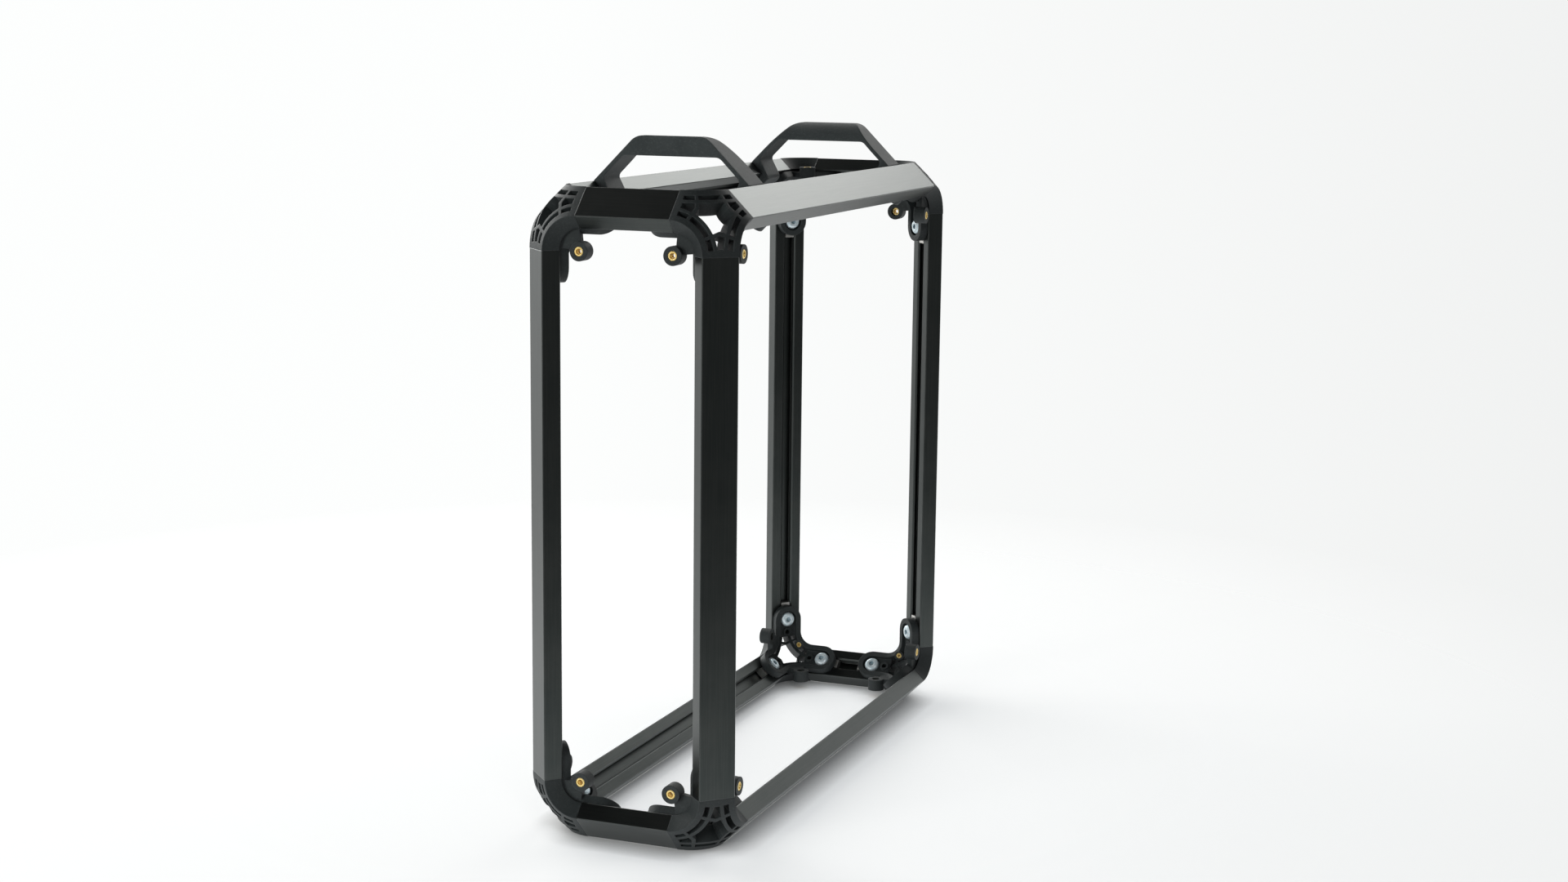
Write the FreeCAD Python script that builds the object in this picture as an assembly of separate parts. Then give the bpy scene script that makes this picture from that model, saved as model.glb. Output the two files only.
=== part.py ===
import FreeCAD, Part
import math
import os

from FreeCAD import Matrix, Placement, Rotation, Vector

# Open-frame computer case: twelve slotted bars, corner caps, inner brackets and two handles.
# Millimetres, +Z up. The origin is the centre of the footprint, on the floor.

# Bars: one flat extruded section, turned 45 degrees so that its wide face is the box's edge
bar_width = 20.0
bar_depth = 10.0
bar_edge_break = 0.4
crossbar_length = 52.0
rail_length = 300.0
post_length = 280.0

# Slot in the inner wide face of every bar
slot_mouth = 6.2
slot_bevel = 0.9
slot_lip = 1.8
slot_cavity_width = 11.0
slot_cavity_depth = 3.8
slot_corner_bevel = 1.6

# Corner caps: the bar section swept round an arc on each box face, pierced by three rows of windows
corner_arc_radius = 18.4
cap_gap = 0.4
cap_window = 3.0
cap_rib = 2.0
cap_window_start = 9.0
cap_window_span = 15.0
cap_cross_rib_span = 4.5
tenon_length = 2.4
tenon_root = 1.0
tenon_clearance = 0.3

# Button-head screws with hexagon sockets
screw_radius = 2.5
screw_clearance = 0.2
screw_tip_clearance = 0.7
screw_head_radius = 4.75
screw_head_height = 2.75
screw_head_edge = 0.9
screw_crown_radius = 2.9
socket_across_flats = 3.0
socket_depth = 1.5

# Slot nuts
nut_reach = 10.5
nut_half_length = 5.5
nut_end_clearance = 0.5
nut_side_clearance = 0.25
nut_floor_clearance = 0.8
nut_neck_clearance = 0.3

# Threaded inserts
insert_radius = 2.5
insert_bore_radius = 1.25
insert_length = 5.0
insert_clearance = 0.05
small_insert_radius = 1.7
small_insert_bore_radius = 0.85
small_insert_length = 3.4

# Inner brackets: three tongues on the slot faces, joined by curved rims
tongue_rim = 3.3
tongue_height = 5.0
tongue_floor = 2.4
pocket_clearance = 0.95
screw_offset = 8.5
floor_inset = 3.5
floor_side_overlap = 1.3
ring_gap = 1.1
ring_wall = 1.2
ring_height = 1.2
ring_hole_radius = 1.55

# Panel bosses on the brackets
boss_wall = 2.5
boss_recess = 5.0
boss_length = 7.0
boss_neck = 3.4
boss_neck_start = 6.0
inner_boss_wall = 1.4
inner_boss_offset = 9.0
inner_boss_start = 11.4
inner_boss_length = 2.0

# Handles across the top rails
handle_middle = 71.0
handle_width = 20.0
handle_height = 24.4
handle_grip = 10.5
handle_leg = 2.2
handle_bend_radius = 10.0
handle_inner_radius = 5.0
handle_round_radius = 16.0
handle_foot = 5.0
handle_foot_half_width = 9.0
handle_foot_radius = 3.5
handle_foot_lap = 4.0
handle_flare_start = 1.0
handle_flare_run = 4.0
handle_flare_radius = 3.0

# Derived sizes
chamfer_setback = bar_width / math.sqrt(2.0)
reach = chamfer_setback + corner_arc_radius
width = crossbar_length + 2.0 * reach
depth = rail_length + 2.0 * reach
height = post_length + 2.0 * reach
half_bar = bar_width / 2.0
slot_roof = bar_depth - slot_lip
slot_floor = slot_roof - slot_cavity_depth
cap_depth = bar_depth - cap_gap
cap_margin = half_bar - 1.5 * cap_window - cap_rib
pocket_half_width = screw_head_radius + pocket_clearance
tongue_half_width = pocket_half_width + tongue_rim
tongue_edge = half_bar - tongue_half_width
seat = bar_depth + tongue_floor
screw_setback = reach + screw_offset
screw_length = seat - slot_floor - screw_tip_clearance
floor_setback = reach - floor_inset
ring_radius = ring_hole_radius + ring_wall
ring_setback = screw_setback - screw_head_radius - ring_gap - ring_radius
boss_radius = insert_radius + boss_wall
boss_hole_radius = insert_radius + insert_clearance
inner_boss_radius = small_insert_radius + inner_boss_wall
inner_boss_hole_radius = small_insert_radius + insert_clearance
inner_boss_setback = reach - inner_boss_offset
inner_boss_end = inner_boss_start + inner_boss_length
handle_setback = handle_middle - handle_width / 2.0
handle_top = height + handle_height
handle_under = handle_height - handle_grip
overcut = bar_depth
far = 4.0 * reach

AXIS_X = Vector(1, 0, 0)
AXIS_Y = Vector(0, 1, 0)
AXIS_Z = Vector(0, 0, 1)
ORIGIN = Vector(0, 0, 0)
DIAGONAL = Vector(1, 1, 1)


def polygon(points):
    return Part.Face(Part.makePolygon(points + [points[0]]))


def block(x0, x1, y0, y1, z0, z1):
    return Part.makeBox(x1 - x0, y1 - y0, z1 - z0, Vector(x0, y0, z0))


def peg(radius, length, base):
    return Part.makeCylinder(radius, length, base, AXIS_Y)


# Placing: a corner is modelled at the box corner (0, 0, 0) with the inside towards +X, +Y and +Z.
# An upright arm is modelled with X across the bar, Y from its outer face inwards and Z along it.
def on_arm(shape):
    placed = shape.copy()
    edge_middle = Vector(chamfer_setback / 2.0, chamfer_setback / 2.0, 0)
    placed.Placement = Placement(edge_middle, Rotation(AXIS_Z, -45)).multiply(placed.Placement)
    return placed


def turned(shape, steps):
    copy = shape.copy()
    copy.rotate(ORIGIN, DIAGONAL, 120.0 * steps)
    return copy


def at_corner(shape, right, rear, top):
    placed = shape.copy()
    placed.translate(Vector(-width / 2.0, -depth / 2.0, 0))
    if right:
        placed = placed.mirror(ORIGIN, AXIS_X)
    if rear:
        placed = placed.mirror(ORIGIN, AXIS_Y)
    if top:
        placed = placed.mirror(Vector(0, 0, height / 2.0), AXIS_Z)
    return placed


# Sweeps round the arc of one box face: radius from the arc's centre, depth behind the face
def across(t, w):
    radius = corner_arc_radius + (t - w) / math.sqrt(2.0)
    return radius, (t + w) / math.sqrt(2.0)


def swept(outline, start, end):
    face = polygon([Vector(reach - radius, behind, reach) for radius, behind in outline])
    centre = Vector(reach, 0, reach)
    face.rotate(centre, -AXIS_Y, start)
    return face.revolve(centre, -AXIS_Y, end - start)


def swept_bar(t0, t1, w0, w1, start, end):
    outline = [across(t0, w0), across(t0, w1), across(t1, w1), across(t1, w0)]
    return swept(outline, start, end)


# Bars
def mirrored_section(right):
    left = [(-x, y) for x, y in reversed(right)]
    return polygon([Vector(x, y, 0) for x, y in right + left])


def cavity_points(clearance):
    side = slot_cavity_width / 2.0 - clearance
    low = slot_floor + slot_corner_bevel
    return [(side, slot_roof), (side, low), (side - slot_corner_bevel, slot_floor)]


def bar_section():
    e = bar_edge_break
    mouth = slot_mouth / 2.0
    outside = [(half_bar - e, 0), (half_bar, e), (half_bar, bar_depth - e), (half_bar - e, bar_depth)]
    lips = [(mouth + slot_bevel, bar_depth), (mouth, bar_depth - slot_bevel), (mouth, slot_roof)]
    return mirrored_section(outside + lips + cavity_points(0))


def bar(length):
    blank = bar_section()
    blank.translate(AXIS_Z * reach)
    return on_arm(blank.extrude(AXIS_Z * length))


# Corner caps
def cap_sector():
    body = swept_bar(0, bar_width, 0, cap_depth, 0, 90)
    first = cap_window_start
    second = first + cap_window_span
    third = second + cap_cross_rib_span
    side = cap_margin + cap_window
    middle = side + cap_rib
    low = -overcut
    high = cap_depth + overcut
    cuts = []
    for start, end in ((first, second), (third, 90 - third), (90 - second, 90 - first)):
        cuts.append(swept_bar(cap_margin, side, low, high, start, end))
        cuts.append(swept_bar(middle, bar_width + overcut, low, high, start, end))
    return body.cut(cuts).common(face_share())


# The part of space that lies nearer to one box face than to the other two
def face_share():
    base = [ORIGIN, Vector(far, 0, 0), Vector(far, 0, far), Vector(0, 0, far)]
    apex = Vector(far, far, far)
    sides = [polygon([base[i - 1], base[i], apex]) for i in range(4)]
    return Part.makeSolid(Part.makeShell(sides + [polygon(base)]))


def tenon():
    half = slot_cavity_width / 2.0 - tenon_clearance
    low = slot_floor + slot_corner_bevel
    high = slot_roof - tenon_clearance
    return on_arm(block(-half, half, low, high, reach - tenon_root, reach + tenon_length))


def corner_cap():
    sector = cap_sector()
    key = tenon()
    pieces = [turned(sector, i) for i in (1, 2)] + [turned(key, i) for i in range(3)]
    return sector.fuse(pieces).removeSplitter()


# Inner brackets
def round_ended(half_width, start, end, level):
    corners = [(-half_width, end), (-half_width, start), (half_width, start), (half_width, end)]
    points = [Vector(x, level, z) for x, z in corners]
    edges = [Part.LineSegment(points[i], points[i + 1]).toShape() for i in range(3)]
    tip = Vector(0, level, end + half_width)
    edges.append(Part.Arc(points[3], tip, points[0]).toShape())
    return Part.Face(Part.Wire(edges))


def tongue():
    rise = AXIS_Y * tongue_height
    body = round_ended(tongue_half_width, reach, screw_setback, bar_depth).extrude(rise)
    pocket = round_ended(pocket_half_width, floor_setback, screw_setback, seat).extrude(rise)
    floor_half = pocket_half_width + floor_side_overlap
    floor = block(-floor_half, floor_half, bar_depth, seat, floor_setback, reach)
    ring_at = Vector(0, bar_depth, ring_setback)
    ring = peg(ring_radius, tongue_floor + ring_height, ring_at)
    holes = [
        peg(ring_hole_radius, tongue_height, ring_at),
        peg(screw_radius + screw_clearance, tongue_height, Vector(0, bar_depth, screw_setback)),
    ]
    return on_arm(body.cut(pocket).fuse([floor, ring]).cut(holes))


def rim_web():
    low = bar_depth
    high = bar_depth + tongue_height
    return swept_bar(tongue_edge, tongue_edge + tongue_rim, low, high, 0, 90)


def outer_boss_web():
    end = boss_recess + boss_length
    start = end - boss_neck
    rim_radius = across(tongue_edge, bar_depth)[0]
    outline = [(insert_radius, start), (rim_radius, start), (rim_radius, end), (insert_radius, end)]
    neck = swept(outline, boss_neck_start, 90 - boss_neck_start)
    base = Vector(reach, boss_recess, reach)
    hole = peg(boss_hole_radius, boss_length, base)
    return rim_web().fuse([neck, peg(boss_radius, boss_length, base)]).cut(hole)


def inner_boss_web():
    at = inner_boss_setback
    boss = peg(inner_boss_radius, inner_boss_length, Vector(at, inner_boss_start, at))
    hole = peg(inner_boss_hole_radius, inner_boss_end, Vector(at, 0, at))
    return rim_web().fuse(boss).cut(hole)


def corner_bracket(depth_web):
    arm = tongue()
    side = outer_boss_web()
    pieces = [turned(arm, i) for i in (1, 2)] + [turned(side, i) for i in (1, 2)]
    return arm.fuse(pieces + [depth_web]).removeSplitter()


# Fasteners: the screw and the insert stand along +Y, the nut lies in an upright arm's slot
def button_screw():
    profile = [
        (0, -screw_length), (screw_radius, -screw_length), (screw_radius, 0), (screw_head_radius, 0),
        (screw_head_radius, screw_head_edge), (screw_crown_radius, screw_head_height), (0, screw_head_height),
    ]
    solid = polygon([Vector(r, y, 0) for r, y in profile]).revolve(ORIGIN, AXIS_Y, 360)
    corner = socket_across_flats / math.sqrt(3.0)
    bottom = screw_head_height - socket_depth
    angles = [math.radians(60.0 * i) for i in range(6)]
    hexagon = [Vector(corner * math.cos(a), bottom, corner * math.sin(a)) for a in angles]
    return solid.cut(polygon(hexagon).extrude(AXIS_Y * screw_head_height))


def slot_nut(back, front):
    neck = slot_mouth / 2.0 - nut_side_clearance
    top = bar_depth - nut_neck_clearance
    section = mirrored_section([(neck, top), (neck, slot_roof)] + cavity_points(nut_side_clearance))
    length = back + front
    section.translate(AXIS_Z * -back)
    side = slot_cavity_width
    above_floor = block(-side, side, slot_floor + nut_floor_clearance, bar_depth, -back, front)
    hole = peg(screw_radius + screw_clearance / 2.0, bar_depth, Vector(0, slot_floor, 0))
    return section.extrude(AXIS_Z * length).common(above_floor).cut(hole)


def threaded_insert(radius, bore_radius, length, at, start):
    base = Vector(at, start, at)
    return peg(radius, length, base).cut(peg(bore_radius, length, base))


def along(shape, level, setback):
    moved = shape.copy()
    moved.translate(Vector(0, level, setback))
    return on_arm(moved)


# Handles, modelled over the right top rail and mirrored: t runs down the rail's wide face, w inwards
def handle_point(t, w):
    x = width / 2.0 - chamfer_setback + (t - w) / math.sqrt(2.0)
    return Vector(x, 0, height - (t + w) / math.sqrt(2.0))


def handle_bends():
    outer = Vector(width / 2.0 - chamfer_setback - handle_height, 0, handle_top)
    inner = handle_point(-handle_under * math.sqrt(2.0) - handle_leg, handle_leg)
    flare = handle_point(-handle_flare_start - handle_flare_run, handle_leg)
    foot = handle_point(-handle_flare_start, bar_depth + handle_foot)
    return outer, inner, flare, foot


def handle_outline():
    outer, inner, flare, foot = handle_bends()
    lap = [handle_point(handle_foot_lap, bar_depth), handle_point(handle_foot_lap, bar_depth + handle_foot)]
    right = [outer, handle_point(0, 0), handle_point(0, bar_depth)] + lap + [foot, flare, inner]
    left = [Vector(-p.x, 0, p.z) for p in reversed(right)]
    return polygon(right + left)


# Rounds the two edges, left and right, that run along Y through one corner of the outline
def rounded(solid, corner, radius):
    picked = []
    for edge in solid.Edges:
        middle = edge.CenterOfMass
        along_y = edge.BoundBox.YLength > handle_width / 2.0
        if along_y and abs(abs(middle.x) - corner.x) < 1e-6 and abs(middle.z - corner.z) < 1e-6:
            picked.append(edge)
    return solid.makeFillet(radius, picked)


def handle_foot_plate():
    start = -handle_flare_start / 2.0
    plate = round_ended(handle_foot_half_width, start, half_bar, bar_depth).extrude(AXIS_Y * handle_foot)
    hole = peg(screw_radius + screw_clearance, handle_foot, Vector(0, bar_depth, half_bar))
    counterbore = peg(pocket_half_width, handle_foot, Vector(0, seat, half_bar))
    return plate.cut([hole, counterbore])


# X along the rail, Y inwards from the wide face, Z down the wide face of the right top rail
def rail_frame():
    root = math.sqrt(0.5)
    corner = handle_point(0, 0)
    return Matrix(
        0, -root, root, corner.x,
        1, 0, 0, 0,
        0, -root, -root, corner.z,
        0, 0, 0, 1,
    )


def handle():
    blank = handle_outline().extrude(AXIS_Y * handle_width)
    radii = (handle_bend_radius, handle_inner_radius, handle_flare_radius, handle_foot_radius)
    for corner, radius in zip(handle_bends(), radii):
        blank = rounded(blank, corner, radius)
    round_y = handle_width - handle_round_radius
    round_z = handle_top - handle_round_radius
    waste = block(-width, width, round_y, handle_width + overcut, round_z, handle_top + overcut)
    round_at = Vector(-width, round_y, round_z)
    keep = Part.makeCylinder(handle_round_radius, 2 * width, round_at, AXIS_X)
    arch = blank.cut(waste.cut(keep))
    foot = handle_foot_plate()
    foot.transformShape(rail_frame())
    foot.translate(AXIS_Y * (handle_width / 2.0))
    body = arch.fuse([foot, foot.mirror(ORIGIN, AXIS_X)]).removeSplitter()
    body.translate(AXIS_Y * (handle_setback - depth / 2.0))
    return body


# Assembly
SIDES = (("left", False), ("right", True))
ENDS = (("front", False), ("rear", True))
LEVELS = (("bottom", False), ("top", True))
CORNERS = [(right, rear, top) for _, right in SIDES for _, rear in ENDS for _, top in LEVELS]


# One copy on every arm of every corner, from a shape on an upright arm
def on_every_arm(shape):
    arms = [turned(shape, step) for step in range(3)]
    return Part.makeCompound([at_corner(arm, *corner) for corner in CORNERS for arm in arms])


# One copy on every handle foot, from a shape on an upright arm
def on_every_foot(shape):
    rail = turned(shape, 2)
    return Part.makeCompound([at_corner(rail, *corner) for corner in CORNERS if corner[2]])


def all_inserts():
    inner_start = inner_boss_end - small_insert_length
    outer = threaded_insert(insert_radius, insert_bore_radius, insert_length, reach, boss_recess)
    inner = threaded_insert(
        small_insert_radius, small_insert_bore_radius, small_insert_length, inner_boss_setback, inner_start
    )
    solids = []
    for right, rear, top in CORNERS:
        own = [inner if rear and not top else outer, turned(outer, 1), turned(outer, 2)]
        solids += [at_corner(insert, right, rear, top) for insert in own]
    return Part.makeCompound(solids)


def fasteners():
    screw = button_screw()
    nut_back = screw_offset - tenon_length - nut_end_clearance
    bracket_nut = slot_nut(nut_back, nut_reach)
    handle_nut = slot_nut(nut_half_length, nut_half_length)
    return {
        "bracket_screws": on_every_arm(along(screw, seat, screw_setback)),
        "bracket_slot_nuts": on_every_arm(along(bracket_nut, 0, screw_setback)),
        "handle_screws": on_every_foot(along(screw, seat, handle_middle)),
        "handle_slot_nuts": on_every_foot(along(handle_nut, 0, handle_middle)),
        "threaded_inserts": all_inserts(),
    }


def build():
    nodes = {}
    post = bar(post_length)
    crossbar = turned(bar(crossbar_length), 1)
    rail = turned(bar(rail_length), 2)
    cap = corner_cap()
    outward = corner_bracket(outer_boss_web())
    inward = corner_bracket(inner_boss_web())
    for side, right in SIDES:
        for end, rear in ENDS:
            nodes[f"post_{end}_{side}"] = at_corner(post, right, rear, False)
            caps = [at_corner(cap, right, rear, top) for _, top in LEVELS]
            nodes[f"corner_caps_{end}_{side}"] = Part.makeCompound(caps)
            low = inward if rear else outward
            pair = [at_corner(low, right, rear, False), at_corner(outward, right, rear, True)]
            nodes[f"corner_brackets_{end}_{side}"] = Part.makeCompound(pair)
        for level, top in LEVELS:
            nodes[f"rail_{level}_{side}"] = at_corner(rail, right, False, top)
    for end, rear in ENDS:
        for level, top in LEVELS:
            nodes[f"crossbar_{level}_{end}"] = at_corner(crossbar, False, rear, top)
    front = handle()
    nodes["handle_front"] = front
    nodes["handle_rear"] = front.mirror(ORIGIN, AXIS_Y)
    nodes.update(fasteners())
    return nodes


os.makedirs("parts", exist_ok=True)
for name, shape in build().items():
    shape.exportStep(f"parts/{name}.step")
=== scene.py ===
import math

import bmesh
import bpy
from mathutils import Matrix, Vector


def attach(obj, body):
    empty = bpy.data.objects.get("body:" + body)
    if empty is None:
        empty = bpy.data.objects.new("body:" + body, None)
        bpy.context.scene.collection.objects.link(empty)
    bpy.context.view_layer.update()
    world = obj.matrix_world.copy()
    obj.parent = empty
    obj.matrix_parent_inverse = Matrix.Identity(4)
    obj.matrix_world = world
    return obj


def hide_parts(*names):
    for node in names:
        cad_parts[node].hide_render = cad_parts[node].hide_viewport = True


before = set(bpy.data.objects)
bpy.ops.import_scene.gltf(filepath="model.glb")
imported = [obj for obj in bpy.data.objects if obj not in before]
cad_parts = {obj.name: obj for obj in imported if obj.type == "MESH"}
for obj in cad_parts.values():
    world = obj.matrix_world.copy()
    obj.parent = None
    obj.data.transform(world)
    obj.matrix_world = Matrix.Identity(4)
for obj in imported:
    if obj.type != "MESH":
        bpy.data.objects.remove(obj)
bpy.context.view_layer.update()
scene = bpy.context.scene
scene.view_settings.view_transform = "Standard"

MM = 0.001

# Sizes of the case, in millimetres, as its solids have them
BAR_WIDTH, BAR_DEPTH = 20.0, 10.0
CROSSBAR, RAIL, POST = 52.0, 300.0, 280.0
ARC_RADIUS = 18.4
TONGUE_FLOOR = 2.4
SCREW_FROM_SEAM = 8.5
HANDLE_MIDDLE = 71.0
BOSS_RECESS = 5.0
INNER_BOSS_OFFSET = 9.0
INNER_BOSS_END = 13.4
EDGE_SETBACK = BAR_WIDTH * math.sqrt(0.5)
REACH = EDGE_SETBACK + ARC_RADIUS
WIDTH, DEPTH, HEIGHT = (length + 2 * REACH for length in (CROSSBAR, RAIL, POST))
SCREW_SEAT = BAR_DEPTH + TONGUE_FLOOR
SCREW_SETBACK = REACH + SCREW_FROM_SEAM
INNER_BOSS_SETBACK = REACH - INNER_BOSS_OFFSET

# Outer radius, bore radius and length of the threaded inserts
INSERT = (2.5, 1.25, 5.0)
SMALL_INSERT = (1.7, 0.85, 3.4)

EIGHTH_TURN = math.radians(45)
THIRD_TURN = math.radians(120)
SIXTH_TURN = math.radians(60)
SMOOTH_ANGLE = math.radians(38)
CORNER_DIAGONAL = Vector((1, 1, 1))


# A shader socket that adds, subtracts and multiplies
class Value:
    def __init__(self, finish, socket):
        self.finish = finish
        self.socket = socket

    def math(self, operation, first, second):
        return self.finish.node("ShaderNodeMath", {"operation": operation}, {0: first, 1: second})

    def __add__(self, other):
        return self.math("ADD", self, other)

    def __radd__(self, other):
        return self.math("ADD", other, self)

    def __sub__(self, other):
        return self.math("SUBTRACT", self, other)

    def __rsub__(self, other):
        return self.math("SUBTRACT", other, self)

    def __mul__(self, other):
        return self.math("MULTIPLY", self, other)

    def __rmul__(self, other):
        return self.math("MULTIPLY", other, self)

    def between(self, low, high, out_low=0.0, out_high=1.0):
        sockets = {"Value": self, "From Min": low, "From Max": high,
                   "To Min": out_low, "To Max": out_high}
        return self.finish.node("ShaderNodeMapRange", {"clamp": True}, sockets)


# The nodes of one material or of the surround, on Object coordinates where they draw a surface
class Finish:
    def __init__(self, owner):
        owner.use_nodes = True
        self.owner = owner
        self.tree = owner.node_tree
        self.tree.nodes.clear()

    def node(self, kind, settings=None, sockets=None, out=0):
        made = self.tree.nodes.new(kind)
        for key, value in (settings or {}).items():
            setattr(made, key, value)
        for key, value in (sockets or {}).items():
            if isinstance(value, Value):
                self.tree.links.new(value.socket, made.inputs[key])
            else:
                made.inputs[key].default_value = value
        return Value(self, made.outputs[out]) if made.outputs else None

    def place(self, scale=(1.0, 1.0, 1.0)):
        spot = self.node("ShaderNodeTexCoord", out="Object")
        return self.node("ShaderNodeMapping", None, {"Vector": spot, "Scale": scale})

    def noise(self, where, scale, detail=2.0, roughness=0.5):
        sockets = {"Vector": where, "Scale": scale, "Detail": detail, "Roughness": roughness}
        return self.node("ShaderNodeTexNoise", None, sockets)

    def blend(self, share, first, second):
        sockets = {0: share, 6: first, 7: second}
        return self.node("ShaderNodeMix", {"data_type": "RGBA"}, sockets, out=2)

    def rays(self, *kinds):
        return [self.node("ShaderNodeLightPath", out=f"Is {kind} Ray") for kind in kinds]

    def soft_edges(self, radius):
        return self.node("ShaderNodeBevel", {"samples": 6}, {"Radius": radius * MM})

    def edge_share(self, rounded):
        flat = self.node("ShaderNodeNewGeometry", out="True Normal")
        turn = self.node("ShaderNodeVectorMath", {"operation": "DOT_PRODUCT"},
                         {0: rounded, 1: flat}, out="Value")
        return (1.0 - turn).between(0.01, 0.16)

    def bump(self, height, strength, depth, normal):
        sockets = {"Strength": strength, "Distance": depth * MM, "Height": height, "Normal": normal}
        return self.node("ShaderNodeBump", None, sockets)

    def surface(self, sockets):
        shader = self.node("ShaderNodeBsdfPrincipled", None, sockets)
        self.node("ShaderNodeOutputMaterial", None, {"Surface": shader})
        return self.owner


# The middle part of a noise, which most finishes fade across
MIDTONES = (0.35, 0.65)

# Black anodised bars: lines along the extrusion, a cloudy dye, and edges made brighter, partly as
# wear and partly as a painted highlight
DYE_DARK = (0.058, 0.066, 0.064, 1)
DYE_PALE = (0.070, 0.077, 0.074, 1)
DYE_LINE = (0.096, 0.101, 0.098, 1)
BARE_EDGE_AND_HIGHLIGHT = (0.30, 0.30, 0.30, 1)
LINE_STRETCH = 0.02


def anodised(name, along):
    finish = Finish(bpy.data.materials.new(name))
    stretch = [1.0, 1.0, 1.0]
    stretch[along] = LINE_STRETCH
    lengthwise = finish.place(tuple(stretch))
    anywhere = finish.place()
    fine = finish.noise(lengthwise, scale=9000.0, detail=3.0, roughness=0.6)
    broad = finish.noise(lengthwise, scale=1400.0)
    cloud = finish.noise(anywhere, scale=38.0, detail=4.0, roughness=0.55)
    speck = finish.noise(anywhere, scale=5200.0, detail=1.0)
    rounded = finish.soft_edges(0.45)
    edge = finish.edge_share(rounded)
    dark = finish.blend(cloud.between(*MIDTONES), DYE_DARK, DYE_PALE)
    streaked = finish.blend(broad.between(0.4, 0.62, 0.0, 0.22), dark, DYE_LINE)
    # Edges take a paler metal colour: some wear, and a painted edge highlight
    dye_and_edge_highlight = finish.blend(edge * cloud.between(0.3, 0.6, 0.1, 0.5), streaked, BARE_EDGE_AND_HIGHLIGHT)
    rough = 0.27 + 0.05 * fine + 0.04 * speck + 0.04 * cloud - 0.04 * edge
    height = fine * 0.35 + broad * 0.10 + speck * 0.55
    grooves = finish.bump(height, strength=0.09, depth=0.02, normal=rounded)
    return finish.surface({"Base Color": dye_and_edge_highlight, "Metallic": 1.0, "Roughness": rough,
                           "Normal": grooves, "Specular IOR Level": 0.5})


# Matt black moulding with a fine grain and, where asked, faint layer lines
PLASTIC_BLACK = (0.013, 0.0165, 0.0170)
PLASTIC_SOOT = (0.018, 0.0220, 0.0225)
PLASTIC_DUST = (0.032, 0.037, 0.037)
# Lighter colour for the edges: wear, and a painted sheen on the rounded edges
PLASTIC_WORN_AND_SHEEN = (0.066, 0.073, 0.074)
LAYER_PITCH = 0.5527
# A diagonal wave texture of scale 1 turns through this many radians in a metre of one axis
WAVE_RADIANS = 10.0


def moulding(name, shade, gloss, edge_radius, layer_axis=None):
    finish = Finish(bpy.data.materials.new(name))
    where = finish.place()
    grain = finish.noise(where, scale=2600.0, roughness=0.6)
    pits = finish.noise(where, scale=900.0, detail=3.0, roughness=0.65)
    cloud = finish.noise(where, scale=60.0, detail=3.0)
    rounded = finish.soft_edges(edge_radius)
    edge = finish.edge_share(rounded)
    black, soot, dust, worn_and_sheen = (
        (r * shade, g * shade, b * shade, 1)
        for r, g, b in (PLASTIC_BLACK, PLASTIC_SOOT, PLASTIC_DUST, PLASTIC_WORN_AND_SHEEN))
    dark = finish.blend(cloud.between(*MIDTONES), black, soot)
    grey = finish.blend(pits.between(0.52, 0.72, 0.0, 0.6), dark, dust)
    # Edges are lightened: partly wear, partly a painted sheen
    colour = finish.blend(edge * 0.35, grey, worn_and_sheen)
    height = grain * 0.6 + pits * 0.4
    if layer_axis is not None:
        along = [0.0, 0.0, 0.0]
        along[layer_axis] = 1.0
        steps = finish.node(
            "ShaderNodeTexWave", {"wave_type": "BANDS", "bands_direction": "DIAGONAL"},
            {"Vector": finish.place(tuple(along)), "Distortion": 0.0,
             "Scale": math.tau / (WAVE_RADIANS * LAYER_PITCH * MM)}, out=1)
        height = height * 0.7 + steps * 0.5
    rough = 0.50 + 0.16 * grain + 0.08 * cloud
    skin = finish.bump(height, strength=0.28, depth=0.12, normal=rounded)
    return finish.surface({"Base Color": colour, "Roughness": rough, "Normal": skin,
                           "Specular IOR Level": gloss})


# Plated steel and brass: a cloudy plating with fine scuffs
def plated(name, base, tint, metallic, smooth, scuffed):
    finish = Finish(bpy.data.materials.new(name))
    where = finish.place()
    cloud = finish.noise(where, scale=700.0, detail=3.0, roughness=0.6)
    scuff = finish.noise(where, scale=4200.0, roughness=0.6)
    colour = finish.blend(cloud.between(*MIDTONES), base, tint)
    rough = scuff.between(0.3, 0.7, smooth, scuffed)
    skin = finish.bump(scuff, strength=0.08, depth=0.03, normal=finish.soft_edges(0.12))
    return finish.surface({"Base Color": colour, "Metallic": metallic, "Roughness": rough,
                           "Normal": skin})


upright = anodised("black_bar_upright", along=2)
lengthways = anodised("black_bar_lengthways", along=1)
crossways = anodised("black_bar_crossways", along=0)
corner_plastic = moulding("corner_plastic", shade=1.25, gloss=0.45, edge_radius=0.7)
handle_plastic = moulding("handle_plastic", shade=1.9, gloss=0.45, edge_radius=1.2, layer_axis=2)
zinc = plated("bright_zinc", base=(0.66, 0.82, 0.89, 1), tint=(0.88, 0.95, 0.98, 1),
              metallic=0.50, smooth=0.26, scuffed=0.42)
# Darker zinc for the hexagon sockets: painted shade in the recess, with some grease
socket_zinc_grease_and_shade = plated("socket_zinc_grease_and_shade", base=(0.30, 0.42, 0.48, 1), tint=(0.50, 0.61, 0.66, 1),
                     metallic=0.45, smooth=0.25, scuffed=0.40)
nickel = plated("slot_nut_nickel", base=(0.60, 0.59, 0.56, 1), tint=(0.68, 0.67, 0.64, 1),
                metallic=0.9, smooth=0.28, scuffed=0.42)
brass = plated("insert_brass", base=(0.90, 0.64, 0.20, 1), tint=(0.97, 0.78, 0.36, 1),
               metallic=0.70, smooth=0.20, scuffed=0.36)

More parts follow.
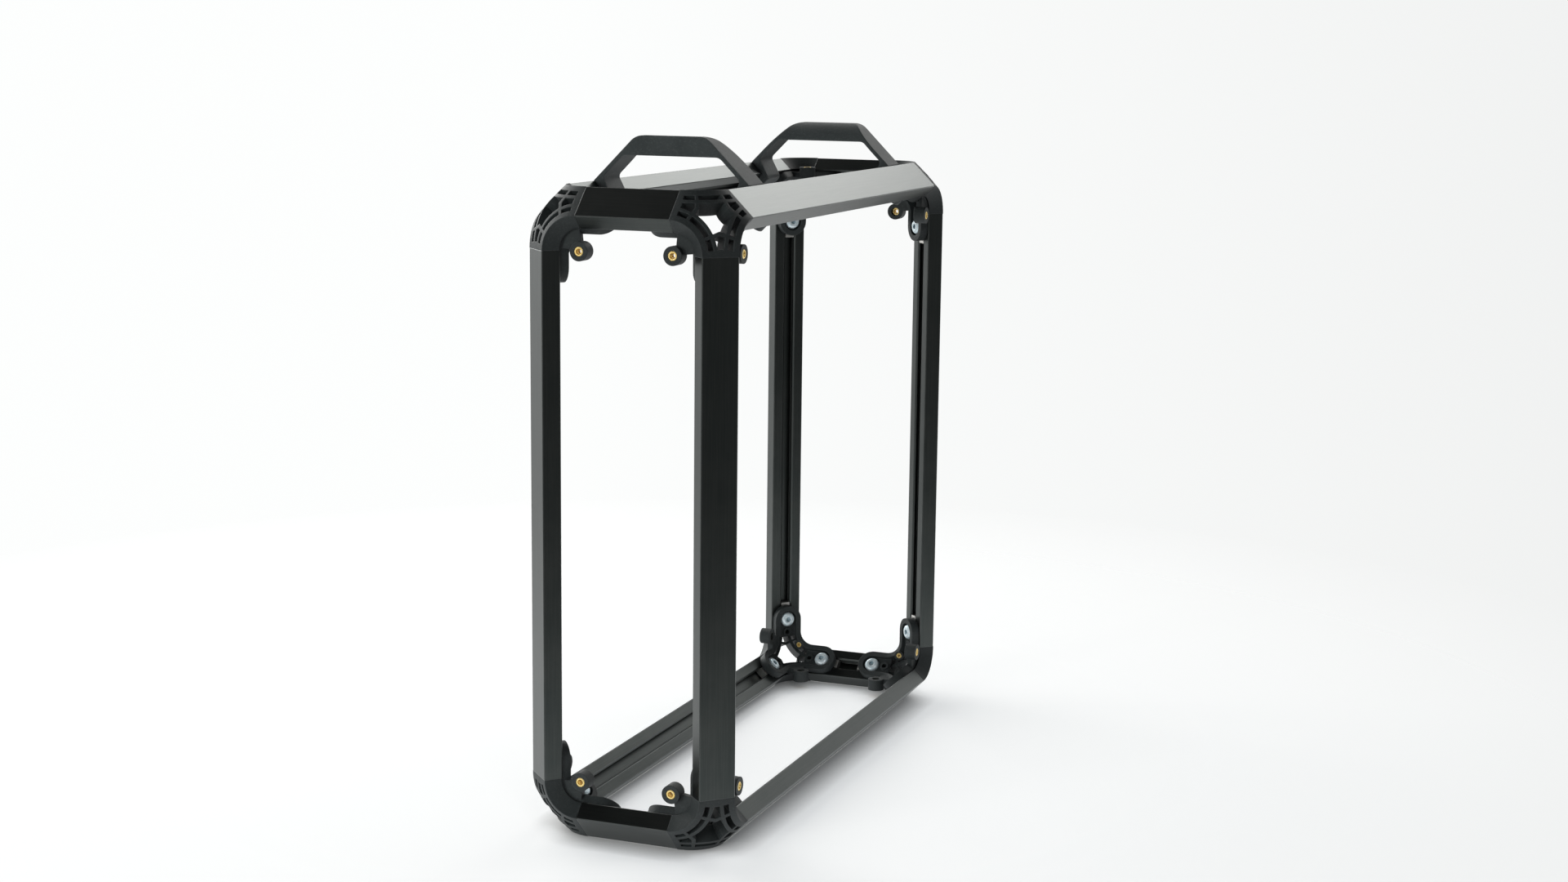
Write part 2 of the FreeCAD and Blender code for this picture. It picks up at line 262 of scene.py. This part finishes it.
FINISH_BY_NAME = (
    ("post_", upright), ("rail_", lengthways), ("crossbar_", crossways),
    ("corner_", corner_plastic),
    ("handle_front", handle_plastic), ("handle_rear", handle_plastic),
    ("bracket_screws", zinc), ("handle_screws", zinc),
    ("bracket_slot_nuts", nickel), ("handle_slot_nuts", nickel),
    ("threaded_inserts", brass),
)
for name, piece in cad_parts.items():
    material = next(finish for start, finish in FINISH_BY_NAME if name.startswith(start))
    piece.data.materials.clear()
    piece.data.materials.append(material)


# Placing: a corner is drawn at (0, 0, 0) with the inside towards +X, +Y and +Z, then mirrored
# into the box. Its three arms and bosses are one, turned about the corner's diagonal
def corner_turn(step):
    return Matrix.Rotation(THIRD_TURN * step, 4, CORNER_DIAGONAL)


def arm_matrix(step):
    middle = Matrix.Translation((EDGE_SETBACK / 2, EDGE_SETBACK / 2, 0))
    return corner_turn(step) @ middle @ Matrix.Rotation(-EIGHTH_TURN, 4, "Z")


def corner_matrix(right, rear, top):
    flip = Matrix.Diagonal((-1 if right else 1, -1 if rear else 1, -1 if top else 1, 1))
    lift = Matrix.Translation((0, 0, HEIGHT if top else 0))
    return lift @ flip @ Matrix.Translation((-WIDTH / 2, -DEPTH / 2, 0))


CORNERS = [(right, rear, top) for right in (0, 1) for rear in (0, 1) for top in (0, 1)]


# Joins placed copies, given as pairs of shape and matrix, into one piece that stands for a node
def add_copies(name, placed, finishes, replaced):
    whole = bmesh.new()
    for shape, place in placed:
        shape.transform(place)
        if place.determinant() < 0:
            bmesh.ops.reverse_faces(shape, faces=shape.faces)
        mesh = bpy.data.meshes.new("copy")
        shape.to_mesh(mesh)
        shape.free()
        whole.from_mesh(mesh)
        bpy.data.meshes.remove(mesh)
    whole.transform(Matrix.Scale(MM, 4))
    mesh = bpy.data.meshes.new(name)
    whole.to_mesh(mesh)
    whole.free()
    for finish in finishes:
        mesh.materials.append(finish)
    piece = bpy.data.objects.new(name, mesh)
    scene.collection.objects.link(piece)
    piece.data.shade_smooth()
    split = piece.modifiers.new("smooth_by_angle", "EDGE_SPLIT")
    split.split_angle = SMOOTH_ANGLE
    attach(piece, "root")
    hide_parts(replaced)


# Spins a profile of (radius, height) points about the Y axis
def turned_profile(points, steps):
    shape = bmesh.new()
    verts = [shape.verts.new((radius, height, 0)) for radius, height in points]
    for first, second in zip(verts, verts[1:]):
        shape.edges.new((first, second))
    bmesh.ops.spin(shape, geom=shape.verts[:] + shape.edges[:], cent=(0, 0, 0), axis=(0, 1, 0),
                   angle=math.tau, steps=steps, use_merge=True)
    bmesh.ops.remove_doubles(shape, verts=shape.verts[:], dist=1e-5)
    return shape


def scale_radius(vert, scale):
    vert.co.x *= scale
    vert.co.z *= scale


# Button-head screw: a rounded head with a hexagon socket, whose faces take the second finish, a
# darker zinc that paints shade and some grease into the recess
def button_screw():
    shank, length, tip = 2.5, 7.0, 0.3
    head, brim, crown, rise = 4.75, 0.75, 2.55, 2.75
    under_edge = 0.15
    mouth, apothem, mouth_edge = 1.95, 1.5, 0.12
    wall_depth, socket_depth = 1.6, 2.0
    arc_steps = 6
    points = [(0.0, -length), (shank - tip, -length), (shank, tip - length), (shank, 0.0),
              (head - under_edge, 0.0), (head, under_edge), (head, brim)]
    for i in range(1, arc_steps + 1):
        turn = math.radians(90) * i / arc_steps
        points.append((crown + (head - crown) * math.cos(turn),
                       brim + (rise - brim) * math.sin(turn)))
    points += [(mouth + mouth_edge, rise), (mouth, rise - mouth_edge),
               (mouth, rise - wall_depth), (0.0, rise - socket_depth)]
    shape = turned_profile(points, 36)
    for vert in shape.verts:
        radius = math.hypot(vert.co.x, vert.co.z)
        if abs(radius - mouth) < 0.01 and vert.co.y > 0:
            turn = math.atan2(vert.co.z, vert.co.x) % SIXTH_TURN - SIXTH_TURN / 2
            scale_radius(vert, apothem / math.cos(turn) / radius)
    # Socket faces get the darker zinc, a painted shade in the recess
    for face in shape.faces:
        middle = face.calc_center_median()
        if math.hypot(middle.x, middle.z) < mouth and 0 < middle.y < rise - 0.1:
            face.material_index = 1
    bmesh.ops.recalc_face_normals(shape, faces=shape.faces[:])
    return shape


# Threaded insert: a knurled brass sleeve with a waist and a bore with thread rings
def threaded_insert(outer, bore, length):
    mouth = bore + 0.3
    waist = outer - 0.3
    points = [(mouth, 0.0), (outer - 0.35, 0.0), (outer - 0.25, 0.12), (outer, 0.14),
              (outer, 0.38 * length), (waist, 0.42 * length),
              (waist, 0.58 * length), (outer, 0.62 * length),
              (outer, length - 0.2), (outer - 0.2, length), (mouth, length)]
    pitch = bore * 0.4
    level = length - pitch
    while level > pitch:
        points += [(bore, level + pitch * 0.2), (bore, level),
                   (bore + pitch * 0.44, level - pitch / 2)]
        level -= pitch
    steps, groove = 48, 0.93
    shape = turned_profile(points + [points[0]], steps)
    for vert in shape.verts:
        if math.hypot(vert.co.x, vert.co.z) > outer - 0.02:
            step = round(math.atan2(vert.co.z, vert.co.x) / math.tau * steps)
            scale_radius(vert, 1.0 if step % 2 else groove)
    bmesh.ops.recalc_face_normals(shape, faces=shape.faces[:])
    return shape


ARMS = range(3)
on_tongue = Matrix.Translation((0, SCREW_SEAT, SCREW_SETBACK))
on_foot = Matrix.Translation((0, SCREW_SEAT, HANDLE_MIDDLE))
tongue_places = [corner_matrix(*corner) @ arm_matrix(step) @ on_tongue
                 for corner in CORNERS for step in ARMS]
foot_places = [corner_matrix(right, rear, top) @ arm_matrix(2) @ on_foot
               for right, rear, top in CORNERS if top]
add_copies("bracket_screw_heads", [(button_screw(), place) for place in tongue_places],
           (zinc, socket_zinc_grease_and_shade), "bracket_screws")
add_copies("handle_screw_heads", [(button_screw(), place) for place in foot_places],
           (zinc, socket_zinc_grease_and_shade), "handle_screws")

# The rear inserts of the two rear bottom corners sit in the web and face inwards
in_boss = Matrix.Translation((REACH, BOSS_RECESS, REACH))
in_web = Matrix.Translation((INNER_BOSS_SETBACK, INNER_BOSS_END, INNER_BOSS_SETBACK))
inwards = Matrix.Rotation(math.pi, 4, "X")
inserts = []
for right, rear, top in CORNERS:
    for step in ARMS:
        place = corner_matrix(right, rear, top) @ corner_turn(step)
        if step == 0 and rear and not top:
            inserts.append((threaded_insert(*SMALL_INSERT), place @ in_web @ inwards))
        else:
            inserts.append((threaded_insert(*INSERT), place @ in_boss))
add_copies("insert_sleeves", inserts, (brass,), "threaded_inserts")

# Floor: white paper with a contact shade, which fades into the white surround
PAPER_DARK = (0.595, 0.585, 0.570, 1)
PAPER_PALE = (0.615, 0.605, 0.590, 1)
PAPER_GLOW = (0.935, 0.972, 1.0, 1)
NO_GLOW = (0.0, 0.0, 0.0, 1)
GLOW, MIRRORED_GLOW = 0.55, 0.14
CONTACT_REACH = 0.015
FADE_CENTRE = (-0.06, 0.04, 0.0)
FADE_START, FADE_END = 0.24, 0.74
FLOOR_HALF = 1.2


def white_floor():
    finish = Finish(bpy.data.materials.new("white_floor"))
    where = finish.place()
    paper = finish.blend(finish.noise(where, scale=1.5), PAPER_DARK, PAPER_PALE)
    matt = finish.node("ShaderNodeBsdfDiffuse", None, {"Color": paper})
    glossy, through = finish.rays("Glossy", "Transmission")
    contact = finish.node("ShaderNodeAmbientOcclusion", {"samples": 8},
                          {"Distance": CONTACT_REACH}, out="AO")
    shaded = finish.blend(contact, NO_GLOW, PAPER_GLOW)
    glow = finish.node("ShaderNodeEmission", None, {"Color": shaded, "Strength": GLOW})
    more = finish.node("ShaderNodeEmission", None,
                       {"Color": PAPER_GLOW, "Strength": MIRRORED_GLOW * (glossy + through)})
    glowing = finish.node("ShaderNodeAddShader", None, {0: glow, 1: more})
    sheet = finish.node("ShaderNodeAddShader", None, {0: matt, 1: glowing})
    apart = finish.node("ShaderNodeVectorMath", {"operation": "DISTANCE"},
                        {0: where, 1: FADE_CENTRE}, out="Value")
    open_air = finish.node("ShaderNodeBsdfTransparent")
    faded = finish.node("ShaderNodeMixShader", None,
                        {0: apart.between(FADE_START, FADE_END), 1: sheet, 2: open_air})
    finish.node("ShaderNodeOutputMaterial", None, {"Surface": faded})
    shape = bmesh.new()
    bmesh.ops.create_grid(shape, x_segments=1, y_segments=1, size=FLOOR_HALF)
    mesh = bpy.data.meshes.new("floor")
    shape.to_mesh(mesh)
    shape.free()
    mesh.materials.append(finish.owner)
    floor = bpy.data.objects.new("floor", mesh)
    scene.collection.objects.link(floor)


# Surround: white to the camera. Metal mirrors a white backdrop behind the case, and otherwise a
# room that is brighter at the back and left and dark above
SURROUND_TINT = (0.985, 0.995, 0.99, 1)
ROOM, ROOM_BACK, ROOM_LEFT, ROOM_ABOVE = 0.16, 0.5, 0.46, 0.09
SEEN_LEFT, SEEN_RIGHT = 1.0, 0.88


def white_surround():
    scene.world = bpy.data.worlds.new("studio")
    finish = Finish(scene.world)
    way = finish.node("ShaderNodeTexCoord", out="Generated")
    x, y, z = (finish.node("ShaderNodeSeparateXYZ", None, {0: way}, out=axis) for axis in "XYZ")
    sides = ROOM + y.between(0.0, 0.8, 0.0, ROOM_BACK) + x.between(-0.9, 0.0, ROOM_LEFT, 0.0)
    room = sides * z.between(0.3, 0.85, 1.0, ROOM_ABOVE)
    direct, glossy, through = finish.rays("Camera", "Glossy", "Transmission")
    backdrop = y.between(0.3, 0.8) * z.between(0.3, 0.6, 1.0, 0.0)
    mirrored = (glossy + through) * backdrop
    seen = direct * x.between(-0.45, 0.0, SEEN_LEFT, SEEN_RIGHT)
    strength = seen + mirrored + (1.0 - direct - mirrored) * room
    light = finish.node("ShaderNodeBackground", None,
                        {"Color": SURROUND_TINT, "Strength": strength})
    finish.node("ShaderNodeOutputWorld", None, {"Surface": light})


# Lamps: one that is not mirrored lights the plastics without a glare along the rails
def softbox(name, place, aim, size, watts, colour, mirrored=True):
    lamp = bpy.data.lights.new(name, "AREA")
    lamp.shape = "RECTANGLE"
    lamp.size, lamp.size_y = size
    lamp.energy = watts
    lamp.color = colour
    holder = bpy.data.objects.new(name, lamp)
    holder.visible_glossy = mirrored
    holder.location = place
    holder.rotation_euler = (Vector(aim) - Vector(place)).to_track_quat("-Z", "Y").to_euler()
    scene.collection.objects.link(holder)


# Camera: the lens in pixels of a frame 1920 wide, angles in degrees, lengths in millimetres
LENS_PIXELS, FRAME_PIXELS, SENSOR = 2903.9, 1920.0, 36.0
AZIMUTH, ELEVATION, ROLL = 21.150, 9.688, 0.664
CAMERA_TARGET = (18.25, 0.0, 190.82)
CAMERA_DISTANCE = 1370.7


def camera():
    lens = bpy.data.cameras.new("camera")
    lens.sensor_width = SENSOR
    lens.lens = SENSOR * LENS_PIXELS / FRAME_PIXELS
    lens.clip_start, lens.clip_end = 0.05, 60.0
    holder = bpy.data.objects.new("camera", lens)
    azimuth, elevation, roll = (math.radians(angle) for angle in (AZIMUTH, ELEVATION, ROLL))
    back = Vector((math.sin(azimuth) * math.cos(elevation),
                   -math.cos(azimuth) * math.cos(elevation), math.sin(elevation)))
    holder.location = (Vector(CAMERA_TARGET) + back * CAMERA_DISTANCE) * MM
    level = (-back).to_track_quat("-Z", "Y").to_matrix().to_4x4()
    holder.rotation_euler = (level @ Matrix.Rotation(roll, 4, "Z")).to_euler()
    scene.collection.objects.link(holder)
    scene.camera = holder


white_floor()
white_surround()
softbox("back", place=(0.08, 1.15, 1.02), aim=(0, 0, 0.34), size=(0.65, 0.65), watts=4.0,
        colour=(1.0, 0.995, 0.97))
softbox("left", place=(-1.9, 0.9, 1.25), aim=(0, 0, 0.15), size=(2.4, 2.0), watts=54.0,
        colour=(1.0, 0.995, 0.98))
softbox("front_fill", place=(-0.8, -2.2, 0.4), aim=(0, 0, 0.3), size=(0.8, 0.8), watts=23.0,
        colour=(1.0, 1.0, 0.98), mirrored=False)
softbox("front_sheen", place=(-0.8, -2.2, 0.6), aim=(0, 0, 0.3), size=(1.1, 1.1), watts=4.0,
        colour=(1.0, 1.0, 0.98))
softbox("right", place=(1.0, -1.7, 1.5), aim=(0, 0, 0.1), size=(0.6, 0.6), watts=5.0,
        colour=(0.97, 0.99, 1.0))
camera()
